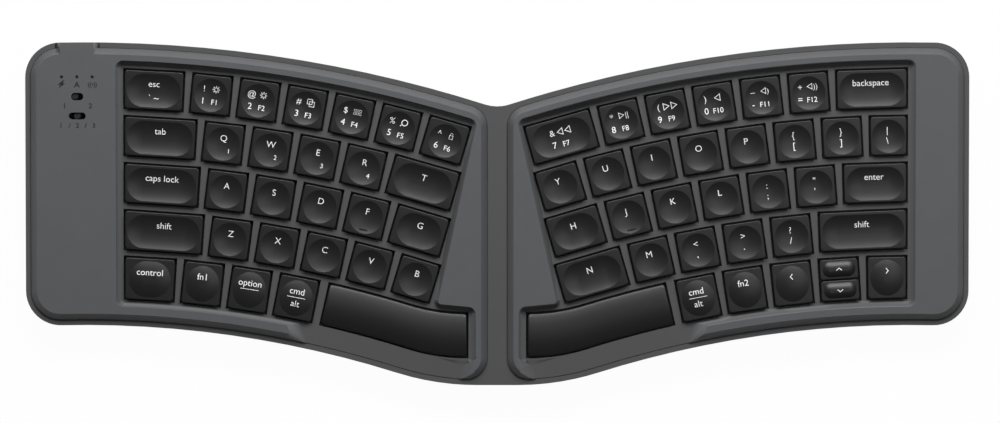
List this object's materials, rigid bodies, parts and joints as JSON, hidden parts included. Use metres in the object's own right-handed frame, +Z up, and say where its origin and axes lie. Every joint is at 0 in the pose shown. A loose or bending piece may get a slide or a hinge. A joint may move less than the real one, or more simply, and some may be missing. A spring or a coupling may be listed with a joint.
{
  "type": "split ergonomic keyboard",
  "caption": "Low split keyboard in one arched case, with dished keys on two raised wings, slide switches and folding rear feet.",
  "frame": {"origin": "on the desk, under the middle of the case's outline", "axes": "+X to the right along the keyboard, +Y to its rear, +Z up off the desk"},
  "size_m": [0.3786, 0.1376, 0.0244],
  "materials": {
    "case_plastic": "fine satin texture",
    "key_plastic": "smooth satin, printed legends",
    "guide_plastic": "plain moulded",
    "dome_rubber": "matt silicone",
    "circuit_foil": "satin foil",
    "steel_sheet": "plain rolled",
    "circuit_board": "solder mask",
    "socket_steel": "plated",
    "cell_wrap": "foil pouch",
    "ribbon_foil": "satin foil",
    "light_pipe": "unlit",
    "pad_rubber": "matt",
    "screw_steel": "blackened",
    "foot_plastic": "fine satin texture",
    "switch_plastic": "ribbed satin"
  },
  "bodies": {
    "case": {"base_case": "case_plastic", "left_cover": "case_plastic", "right_cover": "case_plastic", "key_frames": "guide_plastic", "dome_sheets": "dome_rubber", "membranes": "circuit_foil", "support_plates": "steel_sheet", "controller_board": "circuit_board", "usb_socket": "socket_steel", "battery": "cell_wrap", "ribbon_cable": "ribbon_foil", "indicator_lights": "light_pipe", "rubber_pads": "pad_rubber", "case_screws": "screw_steel"},
    "left_foot": {"left_tilt_foot": "foot_plastic"},
    "right_foot": {"right_tilt_foot": "foot_plastic"},
    "system_switch": {"system_switch_slider": "switch_plastic"},
    "link_switch": {"link_switch_slider": "switch_plastic"},
    "left_space_bar": {"left_space_bar": "key_plastic"},
    "right_space_bar": {"right_space_bar": "key_plastic"},
    "left_number_keys": {"left_number_keys": "key_plastic"},
    "right_number_keys": {"right_number_keys": "key_plastic"},
    "left_modifier_keys": {"left_modifier_keys": "key_plastic"},
    "right_modifier_keys": {"right_modifier_keys": "key_plastic"},
    "arrow_keys": {"arrow_keys": "key_plastic"},
    "punctuation_keys": {"punctuation_keys": "key_plastic"},
    "bracket_keys": {"bracket_keys": "key_plastic"},
    "left_shift_key": {"key_left_shift": "key_plastic"},
    "right_shift_key": {"key_right_shift": "key_plastic"},
    "enter_key": {"key_enter": "key_plastic"},
    "backspace_key": {"key_backspace": "key_plastic"},
    "caps_lock_key": {"key_caps_lock": "key_plastic"},
    "tab_key": {"key_tab": "key_plastic"},
    "esc_key": {"key_esc": "key_plastic"},
    "a_key": {"key_a": "key_plastic"},
    "b_key": {"key_b": "key_plastic"},
    "c_key": {"key_c": "key_plastic"},
    "d_key": {"key_d": "key_plastic"},
    "e_key": {"key_e": "key_plastic"},
    "f_key": {"key_f": "key_plastic"},
    "g_key": {"key_g": "key_plastic"},
    "h_key": {"key_h": "key_plastic"},
    "i_key": {"key_i": "key_plastic"},
    "j_key": {"key_j": "key_plastic"},
    "k_key": {"key_k": "key_plastic"},
    "l_key": {"key_l": "key_plastic"},
    "m_key": {"key_m": "key_plastic"},
    "n_key": {"key_n": "key_plastic"},
    "o_key": {"key_o": "key_plastic"},
    "p_key": {"key_p": "key_plastic"},
    "q_key": {"key_q": "key_plastic"},
    "r_key": {"key_r": "key_plastic"},
    "s_key": {"key_s": "key_plastic"},
    "t_key": {"key_t": "key_plastic"},
    "u_key": {"key_u": "key_plastic"},
    "v_key": {"key_v": "key_plastic"},
    "w_key": {"key_w": "key_plastic"},
    "x_key": {"key_x": "key_plastic"},
    "y_key": {"key_y": "key_plastic"},
    "z_key": {"key_z": "key_plastic"}
  },
  "joints": [
    {"name": "left_foot_fold", "type": "hinge", "parent": "case", "child": "left_foot", "pos_m": [-0.132, 0.057, 0.0028], "axis": [1, 0, 0], "range_deg": [0, 85]},
    {"name": "right_foot_fold", "type": "hinge", "parent": "case", "child": "right_foot", "pos_m": [0.132, 0.057, 0.0028], "axis": [1, 0, 0], "range_deg": [0, 85]},
    {"name": "system_switch_slide", "type": "slide", "parent": "case", "child": "system_switch", "axis": [1, 0, 0], "range_m": [0, 0.0019]},
    {"name": "link_switch_slide", "type": "slide", "parent": "case", "child": "link_switch", "axis": [1, 0, 0], "range_m": [-0.0019, 0.0019]},
    {"name": "left_space_bar_press", "type": "slide", "parent": "case", "child": "left_space_bar", "axis": [0, -0.061, 0.9981], "range_m": [-0.002, 0], "stiffness_N_per_m": 400, "springref_m": 0.0015, "deforming": ["dome_sheets"]},
    {"name": "right_space_bar_press", "type": "slide", "parent": "case", "child": "right_space_bar", "axis": [0, -0.061, 0.9981], "range_m": [-0.002, 0], "stiffness_N_per_m": 400, "springref_m": 0.0015, "deforming": ["dome_sheets"]},
    {"name": "left_number_keys_press", "type": "slide", "parent": "case", "child": "left_number_keys", "axis": [0, -0.061, 0.9981], "range_m": [-0.002, 0], "stiffness_N_per_m": 1200, "springref_m": 0.0015, "deforming": ["dome_sheets"]},
    {"name": "right_number_keys_press", "type": "slide", "parent": "case", "child": "right_number_keys", "axis": [0, -0.061, 0.9981], "range_m": [-0.002, 0], "stiffness_N_per_m": 1200, "springref_m": 0.0015, "deforming": ["dome_sheets"]},
    {"name": "left_modifier_keys_press", "type": "slide", "parent": "case", "child": "left_modifier_keys", "axis": [0, -0.061, 0.9981], "range_m": [-0.002, 0], "stiffness_N_per_m": 800, "springref_m": 0.0015, "deforming": ["dome_sheets"]},
    {"name": "right_modifier_keys_press", "type": "slide", "parent": "case", "child": "right_modifier_keys", "axis": [0, -0.061, 0.9981], "range_m": [-0.002, 0], "stiffness_N_per_m": 400, "springref_m": 0.0015, "deforming": ["dome_sheets"]},
    {"name": "arrow_keys_press", "type": "slide", "parent": "case", "child": "arrow_keys", "axis": [0, -0.061, 0.9981], "range_m": [-0.002, 0], "stiffness_N_per_m": 800, "springref_m": 0.0015, "deforming": ["dome_sheets"]},
    {"name": "punctuation_keys_press", "type": "slide", "parent": "case", "child": "punctuation_keys", "axis": [0, -0.061, 0.9981], "range_m": [-0.002, 0], "stiffness_N_per_m": 1000, "springref_m": 0.0015, "deforming": ["dome_sheets"]},
    {"name": "bracket_keys_press", "type": "slide", "parent": "case", "child": "bracket_keys", "axis": [0, -0.061, 0.9981], "range_m": [-0.002, 0], "stiffness_N_per_m": 600, "springref_m": 0.0015, "deforming": ["dome_sheets"]},
    {"name": "left_shift_key_press", "type": "slide", "parent": "case", "child": "left_shift_key", "axis": [0, -0.061, 0.9981], "range_m": [-0.002, 0], "stiffness_N_per_m": 200, "springref_m": 0.0015, "deforming": ["dome_sheets"]},
    {"name": "right_shift_key_press", "type": "slide", "parent": "case", "child": "right_shift_key", "axis": [0, -0.061, 0.9981], "range_m": [-0.002, 0], "stiffness_N_per_m": 200, "springref_m": 0.0015, "deforming": ["dome_sheets"]},
    {"name": "enter_key_press", "type": "slide", "parent": "case", "child": "enter_key", "axis": [0, -0.061, 0.9981], "range_m": [-0.002, 0], "stiffness_N_per_m": 200, "springref_m": 0.0015, "deforming": ["dome_sheets"]},
    {"name": "backspace_key_press", "type": "slide", "parent": "case", "child": "backspace_key", "axis": [0, -0.061, 0.9981], "range_m": [-0.002, 0], "stiffness_N_per_m": 200, "springref_m": 0.0015, "deforming": ["dome_sheets"]},
    {"name": "caps_lock_key_press", "type": "slide", "parent": "case", "child": "caps_lock_key", "axis": [0, -0.061, 0.9981], "range_m": [-0.002, 0], "stiffness_N_per_m": 200, "springref_m": 0.0015, "deforming": ["dome_sheets"]},
    {"name": "tab_key_press", "type": "slide", "parent": "case", "child": "tab_key", "axis": [0, -0.061, 0.9981], "range_m": [-0.002, 0], "stiffness_N_per_m": 200, "springref_m": 0.0015, "deforming": ["dome_sheets"]},
    {"name": "esc_key_press", "type": "slide", "parent": "case", "child": "esc_key", "axis": [0, -0.061, 0.9981], "range_m": [-0.002, 0], "stiffness_N_per_m": 200, "springref_m": 0.0015, "deforming": ["dome_sheets"]},
    {"name": "a_key_press", "type": "slide", "parent": "case", "child": "a_key", "axis": [0, -0.061, 0.9981], "range_m": [-0.002, 0], "stiffness_N_per_m": 200, "springref_m": 0.0015, "deforming": ["dome_sheets"]},
    {"name": "b_key_press", "type": "slide", "parent": "case", "child": "b_key", "axis": [0, -0.061, 0.9981], "range_m": [-0.002, 0], "stiffness_N_per_m": 200, "springref_m": 0.0015, "deforming": ["dome_sheets"]},
    {"name": "c_key_press", "type": "slide", "parent": "case", "child": "c_key", "axis": [0, -0.061, 0.9981], "range_m": [-0.002, 0], "stiffness_N_per_m": 200, "springref_m": 0.0015, "deforming": ["dome_sheets"]},
    {"name": "d_key_press", "type": "slide", "parent": "case", "child": "d_key", "axis": [0, -0.061, 0.9981], "range_m": [-0.002, 0], "stiffness_N_per_m": 200, "springref_m": 0.0015, "deforming": ["dome_sheets"]},
    {"name": "e_key_press", "type": "slide", "parent": "case", "child": "e_key", "axis": [0, -0.061, 0.9981], "range_m": [-0.002, 0], "stiffness_N_per_m": 200, "springref_m": 0.0015, "deforming": ["dome_sheets"]},
    {"name": "f_key_press", "type": "slide", "parent": "case", "child": "f_key", "axis": [0, -0.061, 0.9981], "range_m": [-0.002, 0], "stiffness_N_per_m": 200, "springref_m": 0.0015, "deforming": ["dome_sheets"]},
    {"name": "g_key_press", "type": "slide", "parent": "case", "child": "g_key", "axis": [0, -0.061, 0.9981], "range_m": [-0.002, 0], "stiffness_N_per_m": 200, "springref_m": 0.0015, "deforming": ["dome_sheets"]},
    {"name": "h_key_press", "type": "slide", "parent": "case", "child": "h_key", "axis": [0, -0.061, 0.9981], "range_m": [-0.002, 0], "stiffness_N_per_m": 200, "springref_m": 0.0015, "deforming": ["dome_sheets"]},
    {"name": "i_key_press", "type": "slide", "parent": "case", "child": "i_key", "axis": [0, -0.061, 0.9981], "range_m": [-0.002, 0], "stiffness_N_per_m": 200, "springref_m": 0.0015, "deforming": ["dome_sheets"]},
    {"name": "j_key_press", "type": "slide", "parent": "case", "child": "j_key", "axis": [0, -0.061, 0.9981], "range_m": [-0.002, 0], "stiffness_N_per_m": 200, "springref_m": 0.0015, "deforming": ["dome_sheets"]},
    {"name": "k_key_press", "type": "slide", "parent": "case", "child": "k_key", "axis": [0, -0.061, 0.9981], "range_m": [-0.002, 0], "stiffness_N_per_m": 200, "springref_m": 0.0015, "deforming": ["dome_sheets"]},
    {"name": "l_key_press", "type": "slide", "parent": "case", "child": "l_key", "axis": [0, -0.061, 0.9981], "range_m": [-0.002, 0], "stiffness_N_per_m": 200, "springref_m": 0.0015, "deforming": ["dome_sheets"]},
    {"name": "m_key_press", "type": "slide", "parent": "case", "child": "m_key", "axis": [0, -0.061, 0.9981], "range_m": [-0.002, 0], "stiffness_N_per_m": 200, "springref_m": 0.0015, "deforming": ["dome_sheets"]},
    {"name": "n_key_press", "type": "slide", "parent": "case", "child": "n_key", "axis": [0, -0.061, 0.9981], "range_m": [-0.002, 0], "stiffness_N_per_m": 200, "springref_m": 0.0015, "deforming": ["dome_sheets"]},
    {"name": "o_key_press", "type": "slide", "parent": "case", "child": "o_key", "axis": [0, -0.061, 0.9981], "range_m": [-0.002, 0], "stiffness_N_per_m": 200, "springref_m": 0.0015, "deforming": ["dome_sheets"]},
    {"name": "p_key_press", "type": "slide", "parent": "case", "child": "p_key", "axis": [0, -0.061, 0.9981], "range_m": [-0.002, 0], "stiffness_N_per_m": 200, "springref_m": 0.0015, "deforming": ["dome_sheets"]},
    {"name": "q_key_press", "type": "slide", "parent": "case", "child": "q_key", "axis": [0, -0.061, 0.9981], "range_m": [-0.002, 0], "stiffness_N_per_m": 200, "springref_m": 0.0015, "deforming": ["dome_sheets"]},
    {"name": "r_key_press", "type": "slide", "parent": "case", "child": "r_key", "axis": [0, -0.061, 0.9981], "range_m": [-0.002, 0], "stiffness_N_per_m": 200, "springref_m": 0.0015, "deforming": ["dome_sheets"]},
    {"name": "s_key_press", "type": "slide", "parent": "case", "child": "s_key", "axis": [0, -0.061, 0.9981], "range_m": [-0.002, 0], "stiffness_N_per_m": 200, "springref_m": 0.0015, "deforming": ["dome_sheets"]},
    {"name": "t_key_press", "type": "slide", "parent": "case", "child": "t_key", "axis": [0, -0.061, 0.9981], "range_m": [-0.002, 0], "stiffness_N_per_m": 200, "springref_m": 0.0015, "deforming": ["dome_sheets"]},
    {"name": "u_key_press", "type": "slide", "parent": "case", "child": "u_key", "axis": [0, -0.061, 0.9981], "range_m": [-0.002, 0], "stiffness_N_per_m": 200, "springref_m": 0.0015, "deforming": ["dome_sheets"]},
    {"name": "v_key_press", "type": "slide", "parent": "case", "child": "v_key", "axis": [0, -0.061, 0.9981], "range_m": [-0.002, 0], "stiffness_N_per_m": 200, "springref_m": 0.0015, "deforming": ["dome_sheets"]},
    {"name": "w_key_press", "type": "slide", "parent": "case", "child": "w_key", "axis": [0, -0.061, 0.9981], "range_m": [-0.002, 0], "stiffness_N_per_m": 200, "springref_m": 0.0015, "deforming": ["dome_sheets"]},
    {"name": "x_key_press", "type": "slide", "parent": "case", "child": "x_key", "axis": [0, -0.061, 0.9981], "range_m": [-0.002, 0], "stiffness_N_per_m": 200, "springref_m": 0.0015, "deforming": ["dome_sheets"]},
    {"name": "y_key_press", "type": "slide", "parent": "case", "child": "y_key", "axis": [0, -0.061, 0.9981], "range_m": [-0.002, 0], "stiffness_N_per_m": 200, "springref_m": 0.0015, "deforming": ["dome_sheets"]},
    {"name": "z_key_press", "type": "slide", "parent": "case", "child": "z_key", "axis": [0, -0.061, 0.9981], "range_m": [-0.002, 0], "stiffness_N_per_m": 200, "springref_m": 0.0015, "deforming": ["dome_sheets"]}
  ]
}
